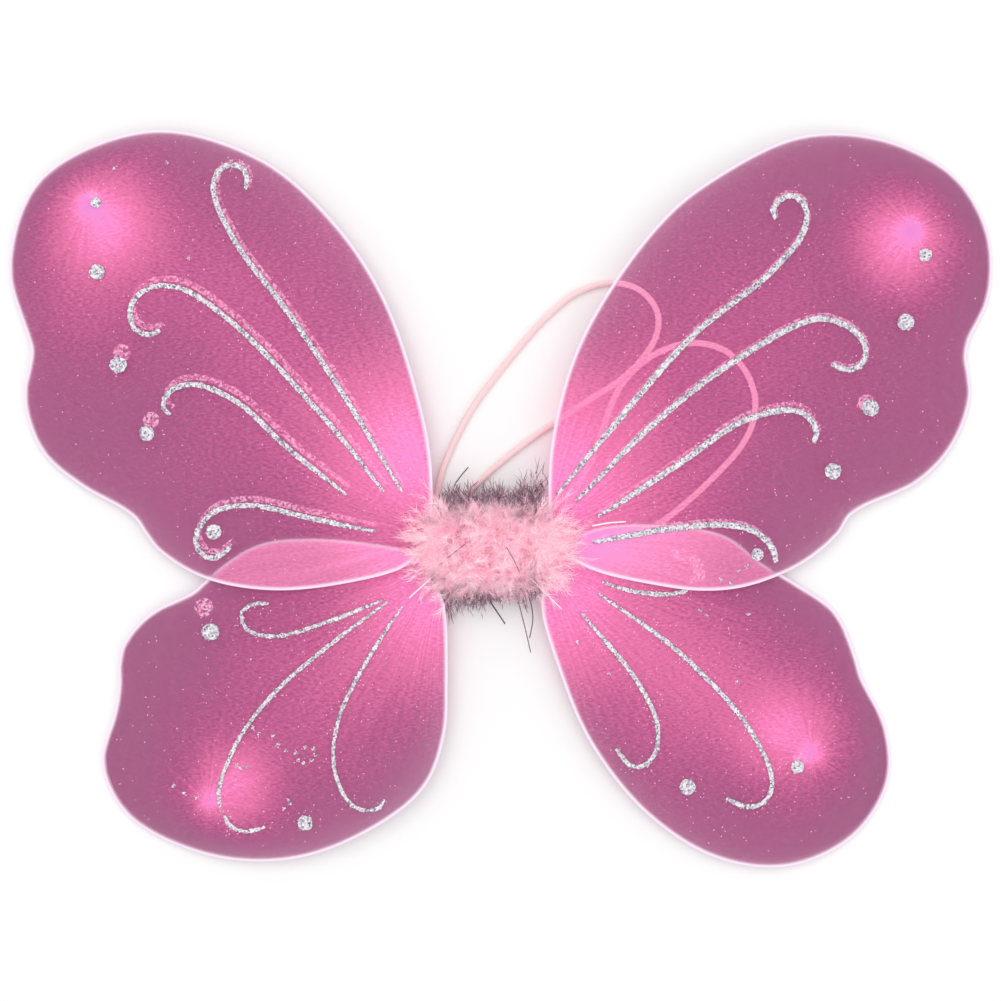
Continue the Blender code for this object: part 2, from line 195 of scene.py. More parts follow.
def tube_mesh(name, line, radius, sides):
    """A round tube along the line, closed at both ends, with (along, around) in its UV map, in metres."""
    along = unit(np.gradient(line, axis=0))
    side = unit(np.cross(along, (0, 0, 1)))
    up = np.cross(side, along)
    turns = np.arange(sides) * 2 * math.pi / sides
    rings = line[:, None] + radius * (np.cos(turns)[None, :, None] * side[:, None]
                                      + np.sin(turns)[None, :, None] * up[:, None])
    verts = rings.reshape(-1, 3)
    faces = []
    for i in range(len(line) - 1):
        for j in range(sides):
            k = (j + 1) % sides
            faces.append((i * sides + j, (i + 1) * sides + j, (i + 1) * sides + k, i * sides + k))
    faces.append(tuple(range(sides)))
    faces.append(tuple((len(line) - 1) * sides + j for j in range(sides))[::-1])
    mesh = bpy.data.meshes.new(name)
    mesh.from_pydata(verts.tolist(), [], faces)
    lengths = np.concatenate([[0], np.cumsum(np.linalg.norm(np.diff(line, axis=0), axis=1))])
    uv = mesh.uv_layers.new(name="UVMap")
    for polygon in mesh.polygons[:-2]:
        first = polygon.vertices[0] % sides
        for corner, vertex in zip(polygon.loop_indices, polygon.vertices):
            around = vertex % sides
            if around < first:
                around += sides
            uv.data[corner].uv = (lengths[vertex // sides], around / sides * 2 * math.pi * radius)
    mesh.shade_smooth()
    return mesh


def dress(mesh, material):
    mesh.materials.clear()
    mesh.materials.append(material)


def put(name, mesh, material, body):
    """Shows the mesh as a piece with that material, riding on a body if one is named."""
    piece = bpy.data.objects.new(name, mesh)
    bpy.context.scene.collection.objects.link(piece)
    dress(mesh, material)
    if body:
        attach(piece, body)
    return piece


def braided_elastic():
    """Fine braid over rubber in two slanting families of thread. It has a faint painted glow all over, and a
    strong one on its upper side under the nylon: painted light for the light that sheer cloth scatters through
    and the renderer's see-through layers hold back."""
    made, tree, shader = new_material("braided_elastic")
    uv = add_node(tree, "ShaderNodeUVMap", uv_map="UVMap").outputs[0]
    parts = add_node(tree, "ShaderNodeSeparateXYZ", {0: uv}).outputs
    slants = []
    for way in (1, -1):
        slant = calc(tree, "MULTIPLY", parts[0], THREAD_SLANT * way)
        across = calc(tree, "ADD", slant, parts[1])
        slants.append(calc(tree, "SINE", calc(tree, "MULTIPLY", across, 2 * math.pi / THREAD_PITCH)))
    weave = calc(tree, "MAXIMUM", slants[0], slants[1])
    place = object_place(tree)
    wear = mottle(tree, place, 140)
    mixed = calc(tree, "ADD", weave, wear)
    shade = ramp(tree, mixed, [(0.1, colour(250, 196, 200)), (0.7, colour(255, 216, 218)),
                               (1.0, colour(255, 228, 230))])
    glow = ramp(tree, attribute(tree, "veiled"), [(0.0, (0.045, 0.03, 0.03, 1)), (1.0, (1.0, 0.47, 0.60, 1))])
    feed(tree, shader, {"Base Color": shade, "Normal": relief(tree, weave, 0.6, 0.2 * MM), "Roughness": 0.75,
                        "Sheen Weight": 0.3, "Emission Color": glow, "Emission Strength": 2.3})
    return made


elastic = braided_elastic()
for loop, route in ARM_LOOPS.items():
    line = smooth_line(route, 2.0) * MM
    cord = put(f"elastic_{loop}", tube_mesh(loop, line, ELASTIC_RADIUS, ELASTIC_SIDES), elastic, "middle")
    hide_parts(loop)

# ----------------------------------------------------------------------------------------------------------
# Wires. Each wing is one length of steel wire with a white plastic coat, bent to the outline by hand. Its two
# legs come together at the root and run on into the binding as a stem. The nylon is drawn over it.
WINGS = ("upper_left", "upper_right", "lower_left", "lower_right")
MIDDLE = np.array([joint["pos_m"] for joint in frame["joints"]]).mean(axis=0)
HINGE_X = {"left": frame["joints"][0]["pos_m"][0], "right": frame["joints"][2]["pos_m"][0]}
ROOT_REACH = 12 * MM         # a wire's two ends lie no further than this above or below the middle
RING_REACH = 2.2 * MM        # wider than a wire, and less than the way to its next ring
WIRE_STEP = 2.2 * MM


def wing_body(wing):
    level, side = wing.split("_")
    return f"{side}_{level}_wing"


def welded(node):
    """A CAD node's shape as one skin, with each corner's points merged."""
    shape = bmesh.new()
    shape.from_mesh(frame["nodes"][node].data)
    bmesh.ops.remove_doubles(shape, verts=shape.verts, dist=1e-6)
    return shape


def wire_line(node):
    """The wire's centreline, read ring by ring from one end of its solid to the other."""
    solid = welded(node)
    hinge = HINGE_X[node.split("_")[-1]]
    near = [v for v in solid.verts if abs(v.co.y - MIDDLE[1]) < ROOT_REACH]
    end = min(near, key=lambda v: abs(v.co.x - hinge))
    ring = [v for v in solid.verts if (v.co - end.co).length < RING_REACH]
    seen = set(ring)
    line = []
    while ring:
        line.append(sum((v.co for v in ring), Vector()) / len(ring))
        reached = dict.fromkeys(e.other_vert(v) for v in ring for e in v.link_edges)
        ring = [v for v in reached if v not in seen]
        seen.update(ring)
    solid.free()
    return line


def coated_wire():
    """White plastic over steel, a little pink from the dyed nylon, with fine drawing marks along it."""
    made, tree, shader = new_material("coated_wire")
    marks = mottle(tree, object_place(tree), 260, 4)
    shade = ramp(tree, marks, [(0.3, colour(244, 208, 230)), (0.7, colour(255, 238, 248))])
    feed(tree, shader, {"Base Color": shade, "Normal": relief(tree, marks, 0.15, 0.1 * MM), "Roughness": 0.32})
    return made


wire_coat = coated_wire()
wire_lines = {}
for wing in WINGS:
    wire_lines[wing] = smooth_line(wire_line(f"wire_{wing}"), WIRE_STEP)
    for node in (f"wire_{wing}", f"stem_{wing}"):
        dress(frame["nodes"][node].data, wire_coat)

# ----------------------------------------------------------------------------------------------------------
# Nylon covers. Each is a tube of sheer pink stocking nylon pulled over its wire, so a front and a back layer
# stretch across the loop. It is gathered at the root and at a knot near the tip, and puckers run from both.
RIM_RADIUS = 1.05 * MM                             # from the wire's axis to the outside of the nylon
LAYER_LIFT = 0.62 * MM                             # each layer's height off the wing's plane in the open middle
RIM_SIDES = 8
KNOT_RAYS = ((17, 0.4), (29, 1.9), (43, 0.9))      # puckers in a full turn, and where each set starts
ROOT_RAYS = ((46, 0.3), (83, 2.2), (127, 1.1))
KNOT_FAN = (84, 1.0 * MM, 1.17, 19)                # points round it, first radius, its growth, and rings
ROOT_FAN = (250, 9 * MM, 1.1, 17)
GRID_STEP = 3.4 * MM
TRIANGLE_RISE = 0.866                              # a row of even triangles, for a side of 1
RIM_BAND = 2.1 * MM                                # inside it the mesh follows the wire
RIM_RINGS = (0.45 * MM, 0.95 * MM, 1.55 * MM)
SEAM_RINGS = (-0.9 * MM, -0.35 * MM, 0.35 * MM, 0.9 * MM)
SEAM_BAND = 1.4 * MM
DENSER = {  # where the nylon is drawn together: x, y, radius in mm, and by how much
    "upper_left": [(-123, 88, 83, 0.33), (-35, 17, 56, 1.0), (-195, 136, 28, 0.9), (-216, 98, 29, 0.2)],
    "upper_right": [(117, 78, 83, 0.28), (24, 9, 55, 1.0), (196, 125, 24, 0.92)],
    "lower_left": [(-99, -99, 54, 0.35), (-30, -45, 51, 1.0), (-131, -141, 21, 0.78)],
    "lower_right": [(103, -94, 44, 0.5), (27, -45, 54, 1.0), (142, -116, 25, 0.75)],
}
DOUBLED = 0.55  # how much denser it looks where a lower wing lies behind an upper one


class Wing:
    """A wing's plane, outline, root and knot, with every place in metres in the frame."""

    def __init__(self, name):
        self.name = name
        self.line = wire_lines[name]
        xs, ys, zs = self.line.T
        self.plane = np.linalg.lstsq(np.stack([xs, ys, np.ones_like(xs)], axis=1), zs, rcond=None)[0]
        self.outline = self.line[:, :2]
        self.root = (self.outline[0] + self.outline[-1]) / 2
        low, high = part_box(f"tip_knot_{name}")
        self.knot = np.array((low + high) / 2)[:2]
        along = np.roll(self.outline, -1, axis=0) - np.roll(self.outline, 1, axis=0)
        turned = np.cross(self.outline, np.roll(self.outline, -1, axis=0)).sum()
        self.outwards = unit(np.column_stack([along[:, 1], -along[:, 0]]) * np.sign(turned))

    def height(self, points):
        return points @ self.plane[:2] + self.plane[2]

    def rim_distance(self, points):
        """How far each point is inside the outline, and less than nothing outside it."""
        a = self.outline
        b = np.roll(a, -1, axis=0)
        edge = b - a
        t = np.clip(((points[:, None] - a) * edge).sum(2) / np.maximum((edge ** 2).sum(1), 1e-12), 0, 1)
        away = np.linalg.norm(points[:, None] - (a + t[..., None] * edge), axis=2).min(axis=1)
        x, y = points[:, 0][:, None], points[:, 1][:, None]
        crosses = (a[:, 1] > y) != (b[:, 1] > y)
        rise = np.where(np.abs(edge[:, 1]) < 1e-12, 1e-12, edge[:, 1])
        inside = (crosses & (x < a[:, 0] + (y - a[:, 1]) / rise * edge[:, 0])).sum(1) % 2 == 1
        return np.where(inside, away, -away)

    def lift(self, points, rim):
        """How far a layer stands off the plane: on the wire at the rim, lower inside, and puckered at both
        gathers."""
        lift = LAYER_LIFT + (RIM_RADIUS - LAYER_LIFT) * np.exp(-(rim / (3.5 * MM)) ** 2)
        free = np.clip(rim / (6 * MM), 0, 1) ** 1.5
        for centre, rays, reach, depth in ((self.root, ROOT_RAYS, 48 * MM, 0.34 * MM),
                                           (self.knot, KNOT_RAYS, 20 * MM, 0.30 * MM)):
            away = points - centre
            radius = np.linalg.norm(away, axis=1)
            angle = np.arctan2(away[:, 1], away[:, 0])
            ridges = sum(np.abs(np.sin(count / 2 * angle + phase)) for count, phase in rays) / len(rays)
            fade = np.exp(-radius / reach) * np.clip(radius / (5 * MM), 0, 1)
            lift += free * depth * (1.3 * ridges - 0.75) * fade
        return lift

    def pinch(self, points):
        """How far the knot pulls both layers back, a dimple of 2 mm."""
        radius = np.linalg.norm(points - self.knot, axis=1)
        return 0.85 * MM * np.exp(-(radius / (2.4 * MM)) ** 2)

    def front(self, points):
        """Heights of the front layer above the surface at these places."""
        return self.height(points) + self.lift(points, self.rim_distance(points)) - self.pinch(points)

    def rings(self, offsets):
        """Points along the outline, this far outside it each."""
        return np.concatenate([self.outline + self.outwards * offset for offset in offsets])

    def density(self, points):
        """How densely the nylon is drawn together: thin at 0, gathered at 1."""
        found = np.zeros(len(points))
        for x, y, radius, amount in DENSER[self.name]:
            away = np.linalg.norm(points - np.array([x, y]) * MM, axis=1)
            found += amount * np.exp(-(away / (radius * MM)) ** 2)
        near = np.linalg.norm(points - self.knot, axis=1)
        rim = np.maximum(self.rim_distance(points), 0)
        slack = 0.4 * np.exp(-(rim / (9 * MM)) ** 2) * np.exp(-(near / (28 * MM)) ** 2)
        return found + 0.5 * np.exp(-(near / (6.5 * MM)) ** 2) - slack

    def spots(self, behind):
        """Where the nylon's mesh has points: fans round the root and the knot, rings along its own wire and
        any wire behind it, and a triangular grid between."""
        half = GRID_STEP / 2
        fans = []
        for centre, (count, first, growth, rings) in ((self.knot, KNOT_FAN), (self.root, ROOT_FAN)):
            radii = first * growth ** np.arange(rings)
            angles = np.arange(count) * 2 * math.pi / count
            spokes = radii[:, None, None] * np.stack([np.cos(angles), np.sin(angles)], axis=1)
            fans.append((centre, radii[-1], (centre + spokes).reshape(-1, 2)))
        low, high = self.outline.min(axis=0), self.outline.max(axis=0)
        rows = np.arange(low[1], high[1], GRID_STEP * TRIANGLE_RISE)
        columns = np.arange(low[0], high[0], GRID_STEP)
        grid = np.array([(x + (i % 2) * half, y) for i, y in enumerate(rows) for x in columns])
        for centre, reach, _ in fans:
            grid = grid[np.linalg.norm(grid - centre, axis=1) > reach + half]
        knot_fan, root_fan = fans[0][2], fans[1][2]
        root_fan = root_fan[np.linalg.norm(root_fan - self.knot, axis=1) > fans[0][1] + half]
        points = np.concatenate([knot_fan, root_fan, grid])
        points = points[self.rim_distance(points) > RIM_BAND]
        if behind:
            points = points[np.abs(behind.rim_distance(points)) > SEAM_BAND]
            seams = behind.rings(SEAM_RINGS)
            points = np.concatenate([points, seams[self.rim_distance(seams) > RIM_BAND]])
        for offset in RIM_RINGS:
            ring = self.rings([-offset])
            points = np.concatenate([points, ring[self.rim_distance(ring) > 0.85 * offset]])
        return points


wings = {name: Wing(name) for name in WINGS}


def mark(mesh, key, values):
    """Keeps a value at each point, for a material to read by its key."""
    mesh.attributes.new(key, "FLOAT", "POINT").data.foreach_set("value", values.astype(np.float32))


def nylon_mesh(wing, behind):
    """Front and back layers over the wire, joined round its outside. Each point keeps how dense the nylon is,
    how near it is to the wire, and how near to the wire of the wing behind, which shows through."""
    outline = wing.outline
    count = len(outline)
    inner = wing.spots(behind)
    flat = np.concatenate([outline, inner])
    cut = delaunay_2d_cdt([Vector(p) for p in flat], [], [list(range(count))], 1, 1e-7)
    points = np.array([tuple(p) for p in cut[0]])
    triangles = [tuple(t) for t in cut[2]]
    rim = np.maximum(wing.rim_distance(points), 0)
    rim[:count] = 0
    plane, lift, pinch = wing.height(points), wing.lift(points, rim), wing.pinch(points)
    front = np.column_stack([points, plane + lift - pinch])
    back = np.column_stack([points, plane - lift - pinch * 0.6])
    verts = [tuple(p) for p in front] + [tuple(p) for p in back]
    total = len(points)
    area = 0.5 * np.cross(outline, np.roll(outline, -1, axis=0)).sum()
    faces = []
    for a, b, c in triangles:
        (ax, ay), (bx, by), (cx, cy) = points[a], points[b], points[c]
        if (bx - ax) * (cy - ay) - (cx - ax) * (by - ay) < 0:
            b, c = c, b
        faces.append((a, b, c))
        faces.append((a + total, c + total, b + total))
    first = len(verts)
    for turn in np.linspace(math.pi / 2, -math.pi / 2, RIM_SIDES + 1)[1:-1]:
        ring = outline + wing.outwards * RIM_RADIUS * math.cos(turn)
        heights = plane[:count] + RIM_RADIUS * math.sin(turn)
        verts += [(x, y, z) for (x, y), z in zip(ring, heights)]
    loops = [list(range(count))]
    loops += [list(range(first + k * count, first + (k + 1) * count)) for k in range(RIM_SIDES - 1)]
    loops += [list(range(total, total + count))]
    for upper, lower in zip(loops, loops[1:]):
        for i in range(count):
            j = (i + 1) % count
            face = (upper[i], lower[i], lower[j], upper[j])
            faces.append(face if area > 0 else face[::-1])
    mesh = bpy.data.meshes.new(f"nylon_{wing.name}")
    mesh.from_pydata(verts, [], faces)
    rest = len(verts) - 2 * total
    dense = wing.density(points)
    seam = np.zeros(total)
    doubled = np.zeros(total)
    if behind:
        over = behind.rim_distance(points)
        doubled = np.clip(0.5 + over / SEAM_BAND, 0, 1)
        dense += DOUBLED * doubled
        seam = np.exp(-(over / (0.6 * MM)) ** 2)
    ring_dense = np.tile(dense[:count], rest // count)
    values = {"rim": [*([0.85 * np.exp(-(rim / (0.72 * MM)) ** 2)] * 2), np.ones(rest)],
              "seam": [seam, seam, np.zeros(rest)], "doubled": [doubled, doubled, np.zeros(rest)],
              "dense": [dense, dense, ring_dense]}
    for key, parts in values.items():
        mark(mesh, key, np.concatenate(parts))
    mesh.shade_smooth()
    return mesh, abs(area)


def new_group(name, takes, gives):
    """A node group that takes and gives these sockets, named with their kinds."""
    group = bpy.data.node_groups.new(name, "ShaderNodeTree")
    for way, sockets in (("INPUT", takes), ("OUTPUT", gives)):
        for socket, kind in sockets.items():
            group.interface.new_socket(socket, in_out=way, socket_type=f"NodeSocket{kind}")
    return group, group.nodes.new("NodeGroupInput").outputs, group.nodes.new("NodeGroupOutput").inputs


def gathers_group():
    """How tightly nylon is drawn together round a gather: its nearness, and the rays that run out from it."""
    group, start, end = new_group("gathers", {"Centre": "Vector", "Reach": "Float", "Rays": "Float"},
                                  {"Nearness": "Float", "Streaks": "Float"})
    place = object_place(group)
    away = vector_calc(group, "SUBTRACT", place, start["Centre"])
    flat = vector_calc(group, "MULTIPLY", away, (1, 1, 0))
    radius = add_node(group, "ShaderNodeVectorMath", {0: flat}, operation="LENGTH").outputs["Value"]
    heading = vector_calc(group, "NORMALIZE", flat)
    share = calc(group, "DIVIDE", radius, start["Reach"])
    bent = calc(group, "POWER", share, 1.35)
    fallen = calc(group, "MULTIPLY", bent, -1.0)
    near = calc(group, "EXPONENT", fallen)
    group.links.new(near, end["Nearness"])
    spokes = add_node(group, "ShaderNodeVectorMath", {0: heading, "Scale": start["Rays"]},
                      operation="SCALE").outputs[0]
    drift = vector_calc(group, "MULTIPLY", place, (9, 9, 0))
    where = vector_calc(group, "ADD", spokes, drift)
    group.links.new(mottle(group, where, 1.0), end["Streaks"])
    return group


def knit_group():
    """The nylon's fine knit: short crossing threads at about a millimetre, and slow changes in how far it is
    stretched."""
    group, _, end = new_group("knit", {}, {"Grain": "Float", "Stretch": "Float"})
    place = object_place(group)
    grains = []
    for turn in (0.9, -0.75):
        lain = add_node(group, "ShaderNodeMapping",
                        {0: place, "Rotation": (0, 0, turn), "Scale": (430, 980, 1)}).outputs[0]
        grains.append(mottle(group, lain, 1.0, 3.0))
    both = calc(group, "ADD", grains[0], grains[1])
    half = calc(group, "MULTIPLY", both, 0.5)
    group.links.new(half, end["Grain"])
    group.links.new(mottle(group, place, 16.0, 1.5), end["Stretch"])
    return group


GATHERS = gathers_group()
KNIT = knit_group()
NYLON_SHADES = [  # thin to drawn together
    (0.0, (0.29, 0.036, 0.16, 1)), (0.175, (0.335, 0.044, 0.185, 1)), (0.25, (0.38, 0.054, 0.21, 1)),
    (0.325, (0.44, 0.064, 0.235, 1)), (0.4, (0.54, 0.088, 0.28, 1)), (0.475, (0.66, 0.13, 0.335, 1)),
    (0.55, (0.77, 0.168, 0.39, 1)), (0.63, (0.87, 0.195, 0.44, 1)), (0.705, (0.96, 0.23, 0.53, 1)),
    (0.765, (0.96, 0.28, 0.63, 1)), (0.855, (0.91, 0.285, 0.70, 1)), (0.96, (0.88, 0.28, 0.72, 1)),
]
THINNEST, DENSEST = -0.5, 1.5
ROOT_GATHER = (0.07, 40, 0.9)  # its reach in metres, its rays, and how strong they are
KNOT_GATHER = (0.022, 9, 0.8)
DOUBLED_SHADE = (1.0, 0.55, 0.75, 1)
RIM_SHADE = colour(255, 232, 250)


def blend_colours(tree, share, first, second):
    inputs = {"Factor": share, 6: first, 7: second}
    return add_node(tree, "ShaderNodeMix", inputs, data_type="RGBA").outputs[2]


def sheer_nylon(wing):
    """Dusky where it is stretched thin, hot pink where it is gathered, and near white on the wire's coat. It
    also glows faintly in its own colour, painted light that brightens it, most where it is dense.
    """
    made, tree, shader = new_material(f"sheer_nylon_{wing.name}")
    knit = add_node(tree, "ShaderNodeGroup", node_tree=KNIT).outputs
    rim = attribute(tree, "rim")
    density = attribute(tree, "dense")
    for centre, (reach, rays, weight) in ((wing.root, ROOT_GATHER), (wing.knot, KNOT_GATHER)):
        gathers = add_node(tree, "ShaderNodeGroup", {"Centre": (*centre, 0), "Reach": reach, "Rays": rays},
                           node_tree=GATHERS).outputs
        spread = calc(tree, "MULTIPLY", calc(tree, "SUBTRACT", gathers["Streaks"], 0.5), weight)
        density = calc(tree, "MULTIPLY_ADD", spread, gathers["Nearness"], density)
    density = calc(tree, "ADD", density, calc(tree, "MULTIPLY_ADD", knit["Stretch"], 0.3, -0.15))
    grainy = calc(tree, "ADD", density, calc(tree, "MULTIPLY_ADD", knit["Grain"], 1.4, -0.7))
    share = add_node(tree, "ShaderNodeMapRange", {0: grainy, 1: THINNEST, 2: DENSEST}).outputs[0]
    paler = calc(tree, "MULTIPLY", attribute(tree, "doubled"), 0.16)
    shade = blend_colours(tree, paler, ramp(tree, share, NYLON_SHADES), DOUBLED_SHADE)
    lined = blend_colours(tree, calc(tree, "MULTIPLY", attribute(tree, "seam"), 0.6), shade, RIM_SHADE)
    mixed = blend_colours(tree, rim, lined, RIM_SHADE)
    cover = add_node(tree, "ShaderNodeMapRange", {0: density, 1: 0.0, 2: 1.0, 3: 0.48, 4: 0.8}).outputs[0]
    solid = calc(tree, "MAXIMUM", cover, calc(tree, "MULTIPLY", rim, 0.97))
    # Emission: a faint painted glow in the nylon's own colour.
    feed(tree, shader, {"Base Color": mixed, "Alpha": solid, "Roughness": 0.5, "Specular IOR Level": 0.2,
                        "Normal": relief(tree, knit["Grain"], 0.4, 0.2 * MM),
                        "Emission Color": mixed, "Emission Strength": 0.05})
    return made


def behind_of(name):
    """The lower wing that lies behind an upper one."""
    return wings[name.replace("upper", "lower")] if name.startswith("upper") else None


for name, wing in wings.items():
    mesh, area = nylon_mesh(wing, behind_of(name))
    cover = put(f"nylon_{name}", mesh, sheer_nylon(wing), wing_body(name))
    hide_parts(f"cover_{name}")
    size = wing.outline.max(axis=0) - wing.outline.min(axis=0)

# Where each elastic gets its strong painted glow: its upper side, under the upper right wing.
for loop in ARM_LOOPS:
    mesh = bpy.data.objects[f"elastic_{loop}"].data
    places = np.array([v.co for v in mesh.vertices])
    ups = np.array([v.normal[2] for v in mesh.vertices])
    under = np.clip(wings["upper_right"].rim_distance(places[:, :2]) / (2 * MM) + 0.5, 0, 1)
    mark(mesh, "veiled", under * np.clip(ups * 2, 0, 1))

# ----------------------------------------------------------------------------------------------------------
# Glitter. Swirls and dots of silver glitter in clear glue, piped on the front layer and dried as lumpy beads.
# Some soaked through and printed on the back layer, a little to one side, and loose flakes lie all over it.
GLITTER_GRID = 0.5 * MM
BEAD_SHOULDER = 0.95 * MM    # points higher than this over the wing's plane are a bead's top
BEAD_CROWN = 0.25 * MM       # how far that top is raised
DRY_REACH = 8.5              # how far in mm a starved stretch runs each way
PRINT_TOP = -0.30 * MM       # a soaked print's faces, from the wing's plane
PRINT_FOOT = -0.42 * MM
PRESSED_SPREAD = 1.7 * MM
PRESSED_LIFT = 0.4 * MM
SOAKED = {  # how far each print lies from its bead, in mm
    "glitter_line_upper_left_1": (1.3, 1.6), "glitter_line_upper_left_2": (1.3, 3.6),
    "glitter_line_upper_left_3": (1.5, 3.8), "glitter_line_upper_left_4": (1.2, 3.2),
    "glitter_dot_upper_left_1": (-2.2, 3.4), "glitter_dot_upper_left_3": (1.6, 6.0),
    "glitter_dot_upper_left_4": (2.0, 6.6), "glitter_line_upper_right_1": (0.5, 1.4),
    "glitter_line_upper_right_2": (0.4, 1.3), "glitter_line_upper_right_3": (0.9, 2.4),
    "glitter_line_upper_right_4": (-0.4, 1.2), "glitter_dot_upper_right_3": (-1.6, 2.4),
    "glitter_dot_lower_left_1": (-3.4, 12.0), "glitter_dot_lower_right_2": (1.2, 3.4),
}
STARVED = {"glitter_line_lower_left_2": (-136.5, -153)}  # where a line ran almost dry, in mm
STRAYS = {  # spilt specks, in mm
    "upper_left": [(-189, 162), (-163, 164), (-152, 118)],
    "upper_right": [(116, -35), (107, -39), (112, -41), (120, -33)],
    "lower_left": [
        (-155, -144), (-149, -146.5), (-160, -140.5), (-121, -111.7), (-118.3, -115.1), (-111.4, -115.8),
        (-108.7, -119.9), (-105.2, -123), (-128.6, -130.3), (-127.2, -131.5), (-123.8, -130.9),
        (-103.8, -146.7), (-103.2, -148.7), (-106, -151.2), (-100.3, -124), (-99, -127.2), (-96.2, -128.6),
        (-92.6, -127.6), (-90.4, -124.6), (-91, -121.8), (-95.5, -121.4),
    ],
    "lower_right": [(100, -56.4), (97.2, -54.6), (52.5, -85), (115.3, -89.3), (120.7, -56.4), (37.3, -69.7)],
}


def flakes_group():
    """Close-packed glitter flakes of the given size, each with its own brightness and tilt."""
    group, start, end = new_group("flakes", {"Size": "Float"}, {"Brightness": "Float", "Tilt": "Vector"})
    count = calc(group, "DIVIDE", 1.0, start["Size"])
    cells = add_node(group, "ShaderNodeTexVoronoi",
                     {"Vector": object_place(group), "Scale": count}).outputs["Color"]
    parts = add_node(group, "ShaderNodeSeparateColor", {0: cells}).outputs
    group.links.new(parts[0], end["Brightness"])
    centred = vector_calc(group, "SUBTRACT", cells, (0.5, 0.5, 0.5))
    spread = vector_calc(group, "MULTIPLY", centred, (1.25, 1.25, 1.25))
    facing = add_node(group, "ShaderNodeNewGeometry").outputs["Normal"]
    tilted = vector_calc(group, "ADD", facing, spread)
    group.links.new(vector_calc(group, "NORMALIZE", tilted), end["Tilt"])
    return group


FLAKES = flakes_group()


def flaked(name, size, shades, metallic, roughness):
    """A finish of close-packed flakes, with its node tree, shader and the flakes' brightness."""
    made, tree, shader = new_material(name)
    flakes = add_node(tree, "ShaderNodeGroup", node_tree=FLAKES)
    flakes.inputs["Size"].default_value = size
    bright = flakes.outputs["Brightness"]
    feed(tree, shader, {"Base Color": ramp(tree, bright, shades), "Normal": flakes.outputs["Tilt"],
                        "Metallic": metallic, "Roughness": roughness})
    return made, tree, shader, bright


def silver_glitter():
    shades = [(0.0, colour(150, 138, 158)), (0.3, colour(194, 185, 200)), (0.6, colour(238, 234, 242)),
              (1.0, colour(255, 255, 255))]
    return flaked("silver_glitter", 0.8 * MM, shades, 0.1, 0.25)[0]


def soaked_glitter():
    """Glitter seen through a layer of nylon: pink, a little bright from a painted glow that follows each
    flake's brightness, and broken by gaps.
    """
    shades = [(0.0, colour(230, 146, 190)), (0.5, colour(246, 184, 214)), (1.0, colour(255, 236, 246))]
    made, tree, shader, bright = flaked("soaked_glitter", 1.0 * MM, shades, 0.0, 0.5)
    # Painted sparkle: each flake glows, the brighter ones near white.
    painted_sparkle = ramp(tree, bright, [(0.15, (0.55, 0.16, 0.32, 1)), (0.5, (0.95, 0.55, 0.74, 1)),
                                  (0.85, (1.0, 0.95, 0.97, 1))])
    gaps = mottle(tree, object_place(tree), 700.0)
    kept = add_node(tree, "ShaderNodeMapRange", {0: gaps, 1: 0.41, 2: 0.53, 3: 0.0, 4: 0.95}).outputs[0]
    feed(tree, shader, {"Emission Color": painted_sparkle, "Emission Strength": 0.6, "Alpha": kept})
    return made


def plain(name, shade, roughness):
    """A finish of one even colour."""
    made, tree, shader = new_material(name)
    feed(tree, shader, {"Base Color": shade, "Roughness": roughness})
    return made


silver = silver_glitter()
ghost = soaked_glitter()
loose_shine = plain("loose_flakes", colour(250, 190, 220), 0.3)


def as_mesh(shape, name):
    mesh = bpy.data.meshes.new(name)
    shape.to_mesh(mesh)
    shape.free()
    return mesh


def cad_copy(node, name):
    """A welded copy of a CAD node's mesh."""
    return as_mesh(welded(node), name)


def apply_modifiers(piece):
    bpy.ops.object.select_all(action="DESELECT")
    bpy.context.view_layer.objects.active = piece
    for modifier in [m.name for m in piece.modifiers]:
        bpy.ops.object.modifier_apply(modifier=modifier)


def points_of(mesh):
    places = np.zeros(len(mesh.vertices) * 3, np.float32)
    mesh.vertices.foreach_get("co", places)
    return places.reshape(-1, 3).astype(float)


def set_points(mesh, places):
    mesh.vertices.foreach_set("co", places.astype(np.float32).ravel())
    mesh.update()


def lumpy_bead(node, wing):
    """The CAD ribbon as a dried bead: round shoulders, ragged edges and a grainy top, seated on the nylon."""
    piece = put(node.replace("glitter_", "glitter_bead_"), cad_copy(node, node), silver, None)
    remesh = piece.modifiers.new("grain", "REMESH")
    remesh.mode = "VOXEL"
    remesh.voxel_size = GLITTER_GRID
    soften = piece.modifiers.new("soften", "SMOOTH")
    soften.factor = 0.5
    soften.iterations = 2
    apply_modifiers(piece)
    mesh = piece.data
    places = points_of(mesh)
    normals = np.array([v.normal for v in mesh.vertices])
    coarse = np.array([noise.noise(Vector(p) / (1.7 * MM)) for p in places])
    fine = np.array([noise.noise(Vector(p) / (0.6 * MM)) for p in places])
    places += normals * ((0.42 * coarse + 0.28 * fine - 0.04) * MM)[:, None]
    off = places[:, 2] - wing.height(places[:, :2])
    seat = wing.front(places[:, :2]) - wing.height(places[:, :2])
    places[:, 2] += seat - LAYER_LIFT + BEAD_CROWN * (off > BEAD_SHOULDER)
    if node in STARVED:
        away = np.linalg.norm(places[:, :2] / MM - STARVED[node], axis=1)
        places[:, 2] -= LAYER_LIFT * np.exp(-(away / DRY_REACH) ** 4)
    set_points(mesh, places)
    mesh.shade_smooth()
    dress(mesh, silver)
    return piece


def soaked_print(node, wing):
    """The bead's outline as a thin print on the inside of the back layer."""
    mesh = cad_copy(node, f"soaked_{node}")
    places = points_of(mesh)
    off = places[:, 2] - wing.height(places[:, :2])
    places[:, :2] += np.array(SOAKED[node]) * MM
    lifted = np.where(off > 0.9 * MM, PRINT_TOP, PRINT_FOOT)
    places[:, 2] = wing.height(places[:, :2]) + lifted
    set_points(mesh, places)
    return mesh


